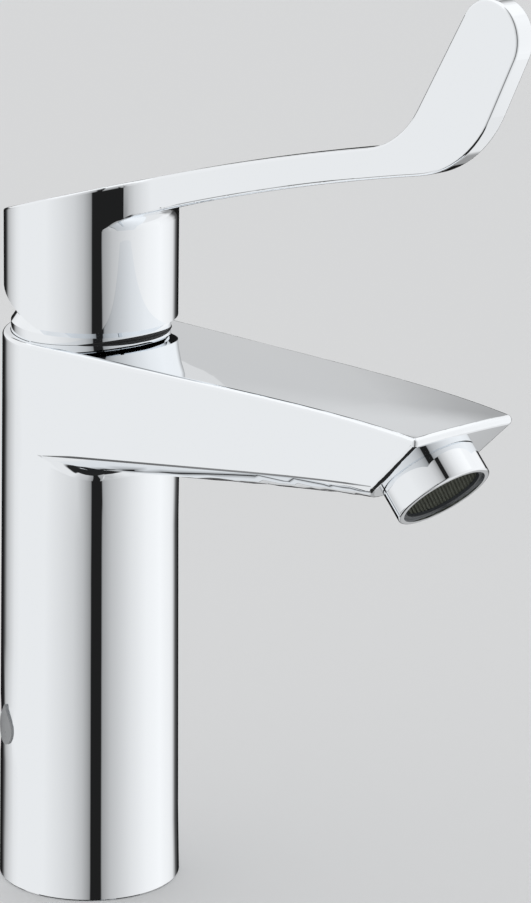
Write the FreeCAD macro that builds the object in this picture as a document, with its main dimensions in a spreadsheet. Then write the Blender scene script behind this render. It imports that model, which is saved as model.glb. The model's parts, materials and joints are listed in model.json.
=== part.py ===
import FreeCAD, Part
import math
import os
import Sketcher
from FreeCAD import Placement, Rotation, Vector

# Single-lever basin mixer, in millimetres.
# +Z is up, the spout points to -Y, and the origin is on the column's axis where it stands on the basin.

doc = FreeCAD.newDocument("BasinMixer")
sheet = doc.addObject("Spreadsheet::Sheet", "Sizes")


# Sizes: every driving dimension is a cell of the sheet, and a Term carries both its number and its expression

class Term:
    def __init__(self, number, text):
        self.number = number
        self.text = text

    def __add__(self, other):
        other = term(other)
        return Term(self.number + other.number, f"({self.text} + {other.text})")

    def __sub__(self, other):
        other = term(other)
        return Term(self.number - other.number, f"({self.text} - {other.text})")

    def __mul__(self, other):
        other = term(other)
        return Term(self.number * other.number, f"({self.text} * {other.text})")

    def __truediv__(self, other):
        other = term(other)
        return Term(self.number / other.number, f"({self.text} / {other.text})")

    def __neg__(self):
        return Term(-self.number, f"(0 - {self.text})")

    def __radd__(self, other):
        return term(other) + self

    def __rsub__(self, other):
        return term(other) - self

    def __rmul__(self, other):
        return term(other) * self


def term(value):
    if isinstance(value, Term):
        return value
    return Term(float(value), f"({float(value)})")


def sine(angle):
    angle = term(angle)
    return Term(math.sin(math.radians(angle.number)), f"sin({angle.text})")


def cosine(angle):
    angle = term(angle)
    return Term(math.cos(math.radians(angle.number)), f"cos({angle.text})")


def tangent(angle):
    angle = term(angle)
    return Term(math.tan(math.radians(angle.number)), f"tan({angle.text})")


def arc_tangent(ratio):
    ratio = term(ratio)
    return Term(math.degrees(math.atan(ratio.number)), f"(atan({ratio.text}) / 1 deg)")


def root(value):
    value = term(value)
    return Term(math.sqrt(value.number), f"sqrt({value.text})")


next_row = [1]

# What counts as the same place when edges are picked, and how many points of an edge are looked at
near = 0.01
edge_samples = 7

# How far a cut runs past the face it starts from, or a pad into the solid it joins
overrun = 1.0


def size(alias, number):
    """One driving dimension: a plain number in the sheet under a word of its own."""
    row = next_row[0]
    next_row[0] += 1
    sheet.set(f"A{row}", alias)
    sheet.set(f"B{row}", str(number))
    sheet.setAlias(f"B{row}", alias)
    return Term(float(number), f"Sizes.{alias}")


# Column and spout casting
base_radius = size("base_radius", 24.5)
column_top_radius = size("column_top_radius", 23.36)
body_height = size("body_height", 152.0)
column_wall = size("column_wall", 3.2)
base_edge = size("base_edge", 0.4)
rim_round = size("rim_round", 1.35)
block_height = size("block_height", 21.0)
chamber_drop = size("chamber_drop", 23.0)
chamber_depth = size("chamber_depth", 10.5)
spout_reach = size("spout_reach", 137.6)
spout_tip_half = size("spout_tip_half", 17.4)
spout_blend = size("spout_blend", 0.06)
spout_rise = size("spout_rise", 4.3)
spout_droop = size("spout_droop", 2.6)
spout_crown = size("spout_crown", 0.9)
spout_crown_fade = size("spout_crown_fade", 0.3)
spout_lean = size("spout_lean", 1.9)
spout_root_flare = size("spout_root_flare", 0.2)
side_depth_root = size("side_depth_root", 29.8)
side_depth_tip = size("side_depth_tip", 13.8)
under_depth = size("under_depth", 4.2)
under_run = size("under_run", 7.0)
under_radius = size("under_radius", 7.0)
under_blend = size("under_blend", 4.2)
spout_run_out = size("spout_run_out", 8.0)
spout_wall = size("spout_wall", 3.0)
hollow_start = size("hollow_start", 27.0)
hollow_end_gap = size("hollow_end_gap", 22.0)
outlet_tilt = size("outlet_tilt", 44.0)
outlet_drop = size("outlet_drop", 18.6)

# Outlet
nozzle_thread_radius = size("nozzle_thread_radius", 12.05)
nozzle_thread_depth = size("nozzle_thread_depth", 4.0)
nozzle_bore_radius = size("nozzle_bore_radius", 8.8)
nozzle_bore_depth = size("nozzle_bore_depth", 7.0)
aerator_radius = size("aerator_radius", 12.6)
aerator_height = size("aerator_height", 8.0)
aerator_rim = size("aerator_rim", 1.4)
aerator_round = size("aerator_round", 0.5)
aerator_gap = size("aerator_gap", 0.2)
aerator_seal_height = size("aerator_seal_height", 1.0)
insert_wall = size("insert_wall", 1.1)
insert_recess = size("insert_recess", 0.8)
insert_shoulder = size("insert_shoulder", 1.0)
insert_ledge = size("insert_ledge", 0.8)
screen_height = size("screen_height", 0.5)
screen_recess = size("screen_recess", 0.5)
diffuser_height = size("diffuser_height", 1.6)
diffuser_hole_radius = size("diffuser_hole_radius", 0.9)
diffuser_ring_radius = size("diffuser_ring_radius", 6.6)
diffuser_holes = 12

# Cartridge
thread_gap = size("thread_gap", 0.05)
running_gap = size("running_gap", 0.08)
loose_gap = size("loose_gap", 0.2)
cartridge_radius = size("cartridge_radius", 17.4)
cartridge_bore = size("cartridge_bore", 14.0)
seal_stand = size("seal_stand", 0.3)
base_flange_height = size("base_flange_height", 2.1)
base_spigot_height = size("base_spigot_height", 1.9)
disc_radius = size("disc_radius", 13.2)
disc_height = size("disc_height", 4.0)
disc_gap = size("disc_gap", 0.02)
moving_disc_radius = size("moving_disc_radius", 11.4)
mixing_radius = size("mixing_radius", 6.0)
mixing_depth = size("mixing_depth", 2.0)
carrier_radius = size("carrier_radius", 10.2)
carrier_half = size("carrier_half", 8.6)
carrier_height = size("carrier_height", 6.0)
guide_gap = size("guide_gap", 0.8)
ball_seat = size("ball_seat", 4.18)
lever_arm = size("lever_arm", 12.5)
ball_radius = size("ball_radius", 3.0)
arm_radius = size("arm_radius", 2.3)
shank_half = size("shank_half", 4.0)
shank_height = size("shank_height", 18.5)
shank_below = size("shank_below", 5.0)
closed_tilt = size("closed_tilt", 10.0)
pin_radius = size("pin_radius", 1.5)
pin_end_gap = size("pin_end_gap", 0.4)
housing_shoulder_rise = size("housing_shoulder_rise", 12.0)
housing_neck_radius = size("housing_neck_radius", 15.2)
housing_lip_height = size("housing_lip_height", 3.0)
housing_lip_drop = size("housing_lip_drop", 1.0)
guide_neck_radius = size("guide_neck_radius", 11.5)
guide_stand = size("guide_stand", 1.0)
guide_slot_half = size("guide_slot_half", 5.8)
guide_leg_gap = size("guide_leg_gap", 0.3)
guide_leg_width = size("guide_leg_width", 3.0)
guide_leg_half = size("guide_leg_half", 5.0)
guide_leg_drop = size("guide_leg_drop", 5.0)
inlet_spread = size("inlet_spread", 7.5)
inlet_back = size("inlet_back", 4.0)
outlet_front = size("outlet_front", 8.0)
port_radius = size("port_radius", 3.1)
port_seal_width = size("port_seal_width", 1.6)
port_seal_height = size("port_seal_height", 1.0)
hose_thread_radius = size("hose_thread_radius", 4.5)
hose_thread_depth = size("hose_thread_depth", 10.0)
channel_radius = size("channel_radius", 3.0)
channel_height = size("channel_height", 5.4)
channel_slope = size("channel_slope", 9.6)

# Nut and dome cap
nut_radius = size("nut_radius", 19.7)
nut_gap = size("nut_gap", 0.1)
nut_collar_radius = size("nut_collar_radius", 18.0)
nut_collar_rise = size("nut_collar_rise", 3.4)
nut_slot_width = size("nut_slot_width", 4.0)
nut_slot_depth = size("nut_slot_depth", 3.0)
nut_slots = 6
cap_seat_depth = size("cap_seat_depth", 3.0)
cap_front_rise = size("cap_front_rise", 2.5)
cap_slant = size("cap_slant", 11.1)
cap_foot = size("cap_foot", 0.2)
cap_base_radius = size("cap_base_radius", 21.1)
cap_shoulder_radius = size("cap_shoulder_radius", 19.5)
cap_shoulder_height = size("cap_shoulder_height", 5.2)
cap_mouth_radius = size("cap_mouth_radius", 12.7)
cap_height = size("cap_height", 10.6)
cap_dome_radius = size("cap_dome_radius", 9.0)
cap_skirt = size("cap_skirt", 2.8)
cap_wall = size("cap_wall", 1.2)

# Handle and lever
handle_radius = size("handle_radius", 22.96)
handle_wall = size("handle_wall", 2.2)
handle_rim_rise = size("handle_rim_rise", 4.5)
handle_top_rise = size("handle_top_rise", 31.2)
handle_slope = size("handle_slope", 17.6)
handle_round = size("handle_round", 0.7)
cavity_rise = size("cavity_rise", 20.0)
hub_radius = size("hub_radius", 10.0)
hub_rise = size("hub_rise", 10.0)
relief_start = size("relief_start", 4.4)
relief_slope = size("relief_slope", 23.0)
grub_wall = size("grub_wall", 1.1)
grub_radius = size("grub_radius", 2.9)
grub_length = size("grub_length", 8.0)
grub_socket = size("grub_socket", 1.3)
grub_socket_depth = size("grub_socket_depth", 3.2)
socket_end_gap = size("socket_end_gap", 0.5)
plug_depth = size("plug_depth", 2.0)
bar_join_angle = size("bar_join_angle", 35.0)
bar_join_turn = size("bar_join_turn", 40.0)
bar_join_run = size("bar_join_run", 5.6)
bar_join_back = size("bar_join_back", 2.0)
bar_flare_radius = size("bar_flare_radius", 12.8)
bar_root_turn = size("bar_root_turn", 87.7)
bar_tip_half = size("bar_tip_half", 3.0)
bar_thin_y = size("bar_thin_y", 100.0)
bar_start_y = size("bar_start_y", 20.6)
bar_end_y = size("bar_end_y", 103.5)
bar_end_rise = size("bar_end_rise", 28.5)
bar_end_angle = size("bar_end_angle", 12.5)
bar_under_y = size("bar_under_y", 22.0)
bar_under_drop = size("bar_under_drop", 2.4)
bar_foot_drop = size("bar_foot_drop", 8.2)
elbow_radius = size("elbow_radius", 25.1)
heel_radius = size("heel_radius", 32.6)
heel_angle = size("heel_angle", 11.8)
head_radius = size("head_radius", 9.3)
paddle_back_angle = size("paddle_back_angle", 59.7)
paddle_front_angle = size("paddle_front_angle", 64.0)
paddle_back_length = size("paddle_back_length", 29.0)
paddle_front_length = size("paddle_front_length", 16.3)
bar_round = size("bar_round", 0.9)
collar_blend = size("collar_blend", 5.0)
collar_bite = size("collar_bite", 1.2)

# Side plug
drop_angle = size("drop_angle", 110.0)
drop_height = size("drop_height", 43.6)
drop_radius = size("drop_radius", 4.4)
drop_point = size("drop_point", 6.9)
drop_stand = size("drop_stand", 0.5)
drop_gap = size("drop_gap", 0.05)
drop_inside = size("drop_inside", 0.4)

# Foot and fixing
seal_height = size("seal_height", 2.0)
seal_width = size("seal_width", 1.9)
foot_plate_bottom = size("foot_plate_bottom", 6.0)
foot_plate_height = size("foot_plate_height", 8.0)
hose_way_radius = size("hose_way_radius", 6.0)
stud_radius = size("stud_radius", 4.0)
stud_back = size("stud_back", 12.0)
stud_length = size("stud_length", 84.0)
deck_thickness = size("deck_thickness", 30.0)
clamp_radius = size("clamp_radius", 23.0)
clamp_slot_half = size("clamp_slot_half", 14.2)
clamp_slot_start = size("clamp_slot_start", 3.0)
gasket_height = size("gasket_height", 3.0)
clamp_height = size("clamp_height", 2.5)
clamp_hole_gap = size("clamp_hole_gap", 0.4)
clamp_nut_half = size("clamp_nut_half", 6.5)
clamp_nut_height = size("clamp_nut_height", 12.0)


# Sketch and feature helpers

def bind(item, prop, value):
    item.setExpression(prop, term(value).text)


def new_body(name):
    body = doc.addObject("PartDesign::Body", name)
    body.Label = name
    return body


def origin_feature(body, role):
    for feature in body.Origin.OriginFeatures:
        if feature.Role == role:
            return feature
    raise ValueError(role)


def place(item, prop, at=(0, 0, 0), axis=None, angle=0):
    """Set a placement and bind its position and its turn about a fixed axis."""
    spot = Vector(*(term(value).number for value in at))
    turn = Rotation(axis, term(angle).number) if axis else Rotation()
    setattr(item, prop, Placement(spot, turn))
    for letter, value in zip("xyz", at):
        if isinstance(value, Term):
            bind(item, f"{prop}.Base.{letter}", value)
    if isinstance(angle, Term):
        bind(item, f"{prop}.Rotation.Angle", angle)


class Arc:
    """The next corner of an outline, reached by an arc; bend 1 turns left on the way and -1 right."""

    def __init__(self, x, y, radius, bend):
        self.x = x
        self.y = y
        self.radius = term(radius)
        self.bend = bend


def pin_point(sketch, edge, end, x, y):
    """Fix a point of the sketch at a bound distance from its origin."""
    x = term(x)
    y = term(y)
    for kind, value, axis in (("DistanceX", x, -2), ("DistanceY", y, -1)):
        if abs(value.number) < 1e-9:
            sketch.addConstraint(Sketcher.Constraint("PointOnObject", edge, end, axis))
            continue
        index = sketch.addConstraint(Sketcher.Constraint(kind, -1, 1, edge, end, value.number))
        sketch.setExpression(f"Constraints[{index}]", value.text)


def arc_between(start, end, radius, bend):
    chord = end - start
    half = chord.Length / 2
    rise = math.sqrt(max(radius * radius - half * half, 0.0))
    left = Vector(-chord.y, chord.x, 0).normalize()
    centre = start + chord * 0.5 + left * (rise * bend)
    circle = Part.Circle(centre, Vector(0, 0, 1), radius)
    first = start if bend > 0 else end
    last = end if bend > 0 else start
    return Part.ArcOfCircle(circle, circle.parameter(first), circle.parameter(last))


def outline(sketch, corners):
    """A closed outline through the corners, each a pair (straight run) or an Arc, with bound positions."""
    spots = []
    for corner in corners:
        pair = (corner.x, corner.y) if isinstance(corner, Arc) else corner
        spots.append((term(pair[0]), term(pair[1])))
    count = len(corners)
    edges = []
    for index in range(count):
        target = corners[(index + 1) % count]
        start = Vector(spots[index][0].number, spots[index][1].number, 0)
        end = Vector(spots[(index + 1) % count][0].number, spots[(index + 1) % count][1].number, 0)
        if isinstance(target, Arc):
            edge = sketch.addGeometry(arc_between(start, end, target.radius.number, target.bend))
            ends = (1, 2) if target.bend > 0 else (2, 1)
            edges.append((edge, ends[0], ends[1], target))
        else:
            edge = sketch.addGeometry(Part.LineSegment(start, end))
            edges.append((edge, 1, 2, None))
    for index in range(count):
        edge, first, last, arc = edges[index]
        following = edges[(index + 1) % count]
        sketch.addConstraint(Sketcher.Constraint("Coincident", edge, last, following[0], following[1]))
        pin_point(sketch, edge, first, *spots[index])
        if arc:
            rule = sketch.addConstraint(Sketcher.Constraint("Radius", edge, arc.radius.number))
            sketch.setExpression(f"Constraints[{rule}]", arc.radius.text)


def circle_in(sketch, x, y, radius):
    radius = term(radius)
    centre = Vector(term(x).number, term(y).number, 0)
    edge = sketch.addGeometry(Part.Circle(centre, Vector(0, 0, 1), radius.number))
    pin_point(sketch, edge, 3, x, y)
    rule = sketch.addConstraint(Sketcher.Constraint("Radius", edge, radius.number))
    sketch.setExpression(f"Constraints[{rule}]", radius.text)


def new_sketch(body, name, role, at=(0, 0, 0), axis=None, angle=0):
    sketch = body.newObject("Sketcher::SketchObject", name)
    sketch.AttachmentSupport = [(origin_feature(body, role), "")]
    sketch.MapMode = "FlatFace"
    place(sketch, "AttachmentOffset", at, axis, angle)
    return sketch


def turned(body, name, corners, kind="Revolution", at=(0, 0, 0), axis=None, angle=0):
    """A full turn of an outline in radius and height, about the upright axis of its sketch."""
    sketch = new_sketch(body, name + "_outline", "XZ_Plane", at, axis, angle)
    outline(sketch, corners)
    feature = body.newObject("PartDesign::" + kind, name)
    feature.Profile = sketch
    feature.ReferenceAxis = (sketch, ["V_Axis"])
    feature.Angle = 360
    sketch.Visibility = False
    return feature


def ring(body, name, inner, outer, low, high, kind="Revolution"):
    return turned(body, name, [(inner, low), (outer, low), (outer, high), (inner, high)], kind)


def extruded(body, name, sketch, kind, length=None, both=False, backwards=False):
    feature = body.newObject("PartDesign::" + kind, name)
    feature.Profile = sketch
    if length is None:
        feature.Type = "ThroughAll"
    else:
        feature.Length = term(length).number
        bind(feature, "Length", length)
    if both:
        feature.Midplane = True
    feature.Reversed = backwards
    sketch.Visibility = False
    return feature


def drilled(body, name, holes, low, high, radius):
    """Upright round holes, each at (x, y), from one height up to another."""
    sketch = new_sketch(body, name + "_holes", "XY_Plane", (0, 0, low))
    for x, y in holes:
        circle_in(sketch, x, y, radius)
    return extruded(body, name, sketch, "Pocket", high - low, backwards=True)


def lofted(body, name, sections, kind):
    feature = body.newObject("PartDesign::" + kind, name)
    feature.Profile = sections[0]
    feature.Sections = sections[1:]
    for section in sections:
        section.Visibility = False
    return feature


def rounded(body, name, base, radius, wanted):
    """A fillet on every edge of the base that the rule picks."""
    doc.recompute()
    edges = [f"Edge{index}" for index, edge in enumerate(base.Shape.Edges, 1) if wanted(edge)]
    feature = body.newObject("PartDesign::Fillet", name)
    feature.Base = (base, edges)
    feature.Radius = term(radius).number
    bind(feature, "Radius", radius)
    return feature


def patterned(body, name, original, count):
    feature = body.newObject("PartDesign::PolarPattern", name)
    feature.Originals = [original]
    feature.Axis = (origin_feature(body, "Z_Axis"), [""])
    feature.Angle = 360
    feature.Occurrences = count
    body.Tip = feature
    return feature


# Shared places

column_bore = base_radius - column_wall
chamber_floor = body_height - chamber_drop
block_bottom = chamber_floor - block_height
chamber_radius = cartridge_radius + loose_gap
ports = [(inlet_spread, inlet_back), (-inlet_spread, inlet_back), (term(0), -outlet_front)]
inlets = ports[:2]
top_at_reach = body_height + spout_rise - spout_droop
outlet_y = -spout_reach + outlet_drop * cosine(outlet_tilt)
outlet_z = top_at_reach - outlet_drop * sine(outlet_tilt)

# The cartridge is stacked on the chamber's floor, and the handle hangs on its pivot
base_low = chamber_floor + seal_stand
flange_top = base_low + base_flange_height
base_top = flange_top + base_spigot_height
fixed_top = base_top + disc_height
moving_low = fixed_top + disc_gap
carrier_low = moving_low + disc_height
carrier_top = carrier_low + carrier_height
guide_low = carrier_top + guide_gap
slide_back = lever_arm * sine(closed_tilt)
pivot_height = carrier_low + ball_seat + lever_arm
housing_shoulder = chamber_floor + housing_shoulder_rise
housing_lip_z = pivot_height - housing_lip_drop
guide_top = housing_lip_z + housing_lip_height + guide_stand
nut_top = body_height - cap_seat_depth - nut_gap
nut_collar_top = body_height + nut_collar_rise
handle_rim = body_height + handle_rim_rise
handle_top = pivot_height + handle_top_rise
cavity_top = pivot_height + cavity_rise
hub_bottom = pivot_height + hub_rise
grub_height = hub_bottom + grub_radius + grub_wall
bar_end_z = handle_top + bar_end_rise
bar_under_z = handle_top - bar_under_drop
bar_foot_z = handle_top - bar_foot_drop


def top_height(away):
    """The spout's top climbs in a straight line and bends down towards its tip."""
    share = away / spout_reach
    cubed = share * share * share
    return body_height + spout_rise * share - spout_droop * cubed * cubed


def section_sizes(away):
    """Half width and heights of the spout's outside at a distance in front of the column's axis."""
    share = away / spout_reach
    top_half = column_top_radius - spout_blend
    half = top_half + (spout_tip_half - top_half) * share
    lean = spout_lean * share - spout_root_flare * (1 - share)
    top = top_height(away)
    depth = side_depth_root + (side_depth_tip - side_depth_root) * share
    return half, lean, top, depth


def spout_section(body, name, away):
    half, lean, top, depth = section_sizes(away)
    sketch = new_sketch(body, name, "XZ_Plane", (0, 0, away))
    crease = half - lean
    keel = crease - under_run
    crown = spout_crown * (1 - spout_crown_fade * away / (spout_reach + spout_run_out))
    crown_radius = (half * half + crown * crown) / (2 * crown)
    outline(sketch, [
        Arc(-half, top, crown_radius, 1),
        (-crease, top - depth),
        Arc(-keel, top - depth - under_depth, under_radius, 1),
        (keel, top - depth - under_depth),
        Arc(crease, top - depth, under_radius, 1),
        (half, top),
    ])
    return sketch


def hollow_section(body, name, away):
    half, lean, top, depth = section_sizes(away)
    sketch = new_sketch(body, name, "XZ_Plane", (0, 0, away))
    crease = half - lean - spout_wall
    keel = crease - under_run
    low = top - depth - under_depth + spout_wall
    outline(sketch, [
        (-(half - spout_wall), top - spout_wall),
        (-crease, top - depth + spout_wall),
        (-keel, low),
        (keel, low),
        (crease, top - depth + spout_wall),
        (half - spout_wall, top - spout_wall),
    ])
    return sketch


# Body: a hollow column and spout in one casting

def make_body():
    body = new_body("body")
    stations = [term(0), spout_reach * 0.3, spout_reach * 0.6, spout_reach * 0.85, spout_reach + spout_run_out]
    sections = [spout_section(body, f"spout_{index}", away) for index, away in enumerate(stations)]
    lofted(body, "spout", sections, "AdditiveLoft")

    front = new_sketch(body, "front_line", "YZ_Plane")
    face_run = spout_run_out + side_depth_root
    face_y = -spout_reach + face_run * cosine(outlet_tilt)
    face_z = top_at_reach - face_run * sine(outlet_tilt)
    over = side_depth_root
    high_y = -spout_reach - over * cosine(outlet_tilt)
    high_z = top_at_reach + over * sine(outlet_tilt)
    outline(front, [
        (high_y, high_z),
        (high_y - over, high_z),
        (high_y - over, face_z),
        (face_y, face_z),
    ])
    face_cut = extruded(body, "front_face", front, "Pocket", spout_tip_half * 4, both=True)

    def on_spout_outline(edge):
        """The two long edges above, the two along the sides' lower end and all those round the front face."""
        slope = math.radians(outlet_tilt.number)
        rises = [
            (point.y + spout_reach.number) * math.sin(slope) + (point.z - top_at_reach.number) * math.cos(slope)
            for point in edge.discretize(edge_samples)
        ]
        outer = min(abs(point.x) for point in edge.discretize(edge_samples))
        long = edge.Length > spout_reach.number / 2 and outer > spout_tip_half.number - 2 * spout_lean.number
        return all(abs(rise) < near for rise in rises) or long

    rounded(body, "spout_edges", face_cut, rim_round, on_spout_outline)
    column = turned(body, "column", [
        (0, 0),
        (base_radius - base_edge, 0),
        (base_radius, base_edge),
        (column_top_radius, body_height - rim_round),
        Arc(column_top_radius - rim_round, body_height, rim_round, 1),
        (0, body_height),
    ])

    def under_spout(edge):
        """Where the spout's underside meets the column's front."""
        spots = edge.discretize(edge_samples)
        on_column = all(math.hypot(point.x, point.y) > column_top_radius.number - near for point in spots)
        low = body_height.number - side_depth_root.number
        return on_column and all(abs(point.z - low) < under_depth.number for point in spots)

    rounded(body, "under_blend", column, under_blend, under_spout)

    ring(body, "column_hollow", 0, column_bore, -overrun, block_bottom, "Groove")
    turned(body, "chamber", [
        (0, chamber_floor),
        (chamber_radius, chamber_floor),
        (chamber_radius, chamber_floor + chamber_depth),
        (nut_radius + thread_gap, chamber_floor + chamber_depth),
        (nut_radius + thread_gap, body_height - cap_seat_depth),
        (cap_base_radius + loose_gap, body_height - cap_seat_depth),
        (cap_base_radius + loose_gap, body_height + cap_height),
        (0, body_height + cap_height),
    ], "Groove")
    hollow_end = spout_reach - hollow_end_gap
    hollows = [
        hollow_section(body, "hollow_0", hollow_start),
        hollow_section(body, "hollow_1", (hollow_start + hollow_end) / 2),
        hollow_section(body, "hollow_2", hollow_end),
    ]
    lofted(body, "spout_hollow", hollows, "SubtractiveLoft")

    turned(body, "nozzle", [
        (0, -overrun),
        (nozzle_thread_radius, -overrun),
        (nozzle_thread_radius, nozzle_thread_depth),
        (nozzle_bore_radius, nozzle_thread_depth),
        (nozzle_bore_radius, nozzle_bore_depth),
        (0, nozzle_bore_depth),
    ], "Groove", (0, outlet_z, -outlet_y), Vector(1, 0, 0), -outlet_tilt)

    thread_top = block_bottom + hose_thread_depth
    drilled(body, "hose_threads", inlets, block_bottom - overrun, thread_top, hose_thread_radius)
    drilled(body, "inlet_ports", inlets, block_bottom, chamber_floor + overrun, port_radius)
    channel_z = chamber_floor - channel_height
    drilled(body, "outlet_port", ports[2:], channel_z, chamber_floor + overrun, port_radius)
    channel = new_sketch(
        body, "channel_circle", "XZ_Plane", (0, channel_z, outlet_front), Vector(1, 0, 0), -channel_slope,
    )
    circle_in(channel, 0, 0, channel_radius)
    extruded(body, "channel", channel, "Pocket", hollow_start, backwards=True)

    recess = seal_width + loose_gap
    ring(body, "seal_recess", column_bore - overrun, column_bore + recess, -overrun, seal_height, "Groove")

    window = new_sketch(body, "drop_window", "XZ_Plane", (0, 0, 0), Vector(0, 1, 0), -(drop_angle + 180))
    drop_outline(window, term(0))
    extruded(body, "drop_hole", window, "Pocket", base_radius + overrun)
    return body


def drop_outline(sketch, gap):
    """A water drop with its point up."""
    radius = drop_radius - gap
    point = drop_point - gap * 1.5
    side = root(1 - (radius / point) * (radius / point))
    outline(sketch, [
        (0, drop_height + point),
        (-radius * side, drop_height + radius * radius / point),
        Arc(0, drop_height - radius, radius, 1),
        Arc(radius * side, drop_height + radius * radius / point, radius, 1),
    ])


def make_side_plug():
    body = new_body("side_plug")
    sketch = new_sketch(body, "drop", "XZ_Plane", (0, 0, column_bore - drop_inside), Vector(1, 0, 0), 0)
    drop_outline(sketch, drop_gap)
    extruded(body, "drop_block", sketch, "Pad", column_wall + drop_inside + drop_stand + overrun)
    face = base_radius + (column_top_radius - base_radius) * (drop_height / body_height) + drop_stand
    trim = 2 * drop_point
    ring(body, "face_cut", face, face + trim, drop_height - trim, drop_height + trim, "Groove")
    place(body, "Placement", (0, 0, 0), Vector(0, 0, 1), -drop_angle)
    return body


# Cartridge

def make_cartridge_base():
    body = new_body("cartridge_base")
    turned(body, "plug", [
        (0, base_low),
        (cartridge_radius - running_gap, base_low),
        (cartridge_radius - running_gap, flange_top),
        (cartridge_bore - running_gap, flange_top),
        (cartridge_bore - running_gap, base_top),
        (0, base_top),
    ])
    drilled(body, "port_holes", ports, base_low - overrun, base_top + overrun, port_radius)
    seat = port_radius + port_seal_width + loose_gap
    drilled(body, "seal_seats", ports, base_low - overrun, chamber_floor + port_seal_height, seat)
    return body


def make_port_seals():
    body = new_body("port_seals")
    sketch = new_sketch(body, "seal_rings", "XY_Plane", (0, 0, chamber_floor))
    for x, y in ports:
        circle_in(sketch, x, y, port_radius + port_seal_width)
        circle_in(sketch, x, y, port_radius)
    extruded(body, "seals", sketch, "Pad", port_seal_height)
    return body


def make_fixed_disc():
    body = new_body("fixed_disc")
    ring(body, "disc", 0, disc_radius, base_top, fixed_top)
    drilled(body, "disc_ports", ports, base_top - overrun, fixed_top + overrun, port_radius)
    return body


def make_moving_disc():
    body = new_body("moving_disc")
    ring(body, "disc", 0, moving_disc_radius, moving_low, carrier_low)
    ring(body, "mixing_recess", 0, mixing_radius, moving_low - overrun, moving_low + mixing_depth, "Groove")
    place(body, "Placement", (0, slide_back, 0))
    return body


def make_disc_carrier():
    body = new_body("disc_carrier")
    ring(body, "puck", 0, carrier_radius, carrier_low, carrier_top)
    for side, name in ((1, "flat_right"), (-1, "flat_left")):
        sketch = new_sketch(body, name + "_line", "XY_Plane", (0, 0, carrier_low))
        outline(sketch, [
            (side * carrier_half, -carrier_radius),
            (side * (carrier_radius + overrun), -carrier_radius),
            (side * (carrier_radius + overrun), carrier_radius),
            (side * carrier_half, carrier_radius),
        ])
        extruded(body, name, sketch, "Pocket", carrier_height, backwards=True)
    ball_floor = pivot_height - lever_arm - ball_radius - loose_gap
    slot_half = ball_radius + loose_gap
    sketch = new_sketch(body, "ball_slot", "XY_Plane", (0, 0, ball_floor))
    outline(sketch, [
        (-slot_half, -slot_half), (slot_half, -slot_half), (slot_half, slot_half), (-slot_half, slot_half),
    ])
    extruded(body, "slot", sketch, "Pocket", carrier_top + overrun - ball_floor, backwards=True)
    place(body, "Placement", (0, slide_back, 0))
    return body


def make_cartridge_housing():
    body = new_body("cartridge_housing")
    turned(body, "housing", [
        (cartridge_bore, flange_top),
        (cartridge_radius, flange_top),
        (cartridge_radius, housing_shoulder),
        (housing_neck_radius, housing_shoulder),
        (housing_neck_radius, housing_lip_z + housing_lip_height),
        (guide_neck_radius + running_gap, housing_lip_z + housing_lip_height),
        (guide_neck_radius + running_gap, housing_lip_z),
        (cartridge_bore, housing_lip_z),
    ])
    return body


def make_spindle_guide():
    body = new_body("spindle_guide")
    turned(body, "guide", [
        (0, guide_low),
        (cartridge_bore - running_gap, guide_low),
        (cartridge_bore - running_gap, housing_lip_z - running_gap),
        (guide_neck_radius, housing_lip_z - running_gap),
        (guide_neck_radius, guide_top),
        (0, guide_top),
    ])
    for side, name in ((1, "leg_right"), (-1, "leg_left")):
        near = side * (carrier_half + guide_leg_gap)
        far = side * (carrier_half + guide_leg_gap + guide_leg_width)
        sketch = new_sketch(body, name + "_outline", "XY_Plane", (0, 0, guide_low - guide_leg_drop))
        outline(sketch, [
            (near, -guide_leg_half), (far, -guide_leg_half), (far, guide_leg_half), (near, guide_leg_half),
        ])
        extruded(body, name, sketch, "Pad", guide_leg_drop + overrun)
    across = shank_half + loose_gap
    slot = new_sketch(body, "swing_slot", "XY_Plane", (0, 0, guide_low - overrun))
    outline(slot, [
        (-across, -guide_slot_half), (across, -guide_slot_half),
        (across, guide_slot_half), (-across, guide_slot_half),
    ])
    extruded(body, "slot", slot, "Pocket", guide_top - guide_low + 2 * overrun, backwards=True)
    hole = new_sketch(body, "pin_circle", "YZ_Plane")
    circle_in(hole, 0, pivot_height, pin_radius + thread_gap)
    extruded(body, "pin_hole", hole, "Pocket", guide_neck_radius * 4, both=True)
    return body


def make_spindle_pin():
    body = new_body("spindle_pin")
    sketch = new_sketch(body, "pin_circle", "YZ_Plane")
    circle_in(sketch, 0, pivot_height, pin_radius)
    extruded(body, "pin", sketch, "Pad", (guide_neck_radius - pin_end_gap) * 2, both=True)
    return body


def make_spindle():
    """The control spindle, drawn upright about its pivot and leaned to its closed tilt."""
    body = new_body("spindle")
    turned(body, "ball", [
        (0, -lever_arm - ball_radius),
        Arc(ball_radius, -lever_arm, ball_radius, 1),
        Arc(arm_radius, root(ball_radius * ball_radius - arm_radius * arm_radius) - lever_arm, ball_radius, 1),
        (arm_radius, -shank_below + overrun),
        (0, -shank_below + overrun),
    ])
    square = new_sketch(body, "square", "XY_Plane", (0, 0, -shank_below))
    outline(square, [
        (-shank_half, -shank_half), (shank_half, -shank_half), (shank_half, shank_half), (-shank_half, shank_half),
    ])
    extruded(body, "shank", square, "Pad", shank_below + shank_height)
    hole = new_sketch(body, "pin_circle", "YZ_Plane")
    circle_in(hole, 0, 0, pin_radius + running_gap)
    extruded(body, "pin_hole", hole, "Pocket", shank_half * 4, both=True)
    place(body, "Placement", (0, 0, pivot_height), Vector(1, 0, 0), closed_tilt)
    return body


# Nut and dome cap

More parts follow.
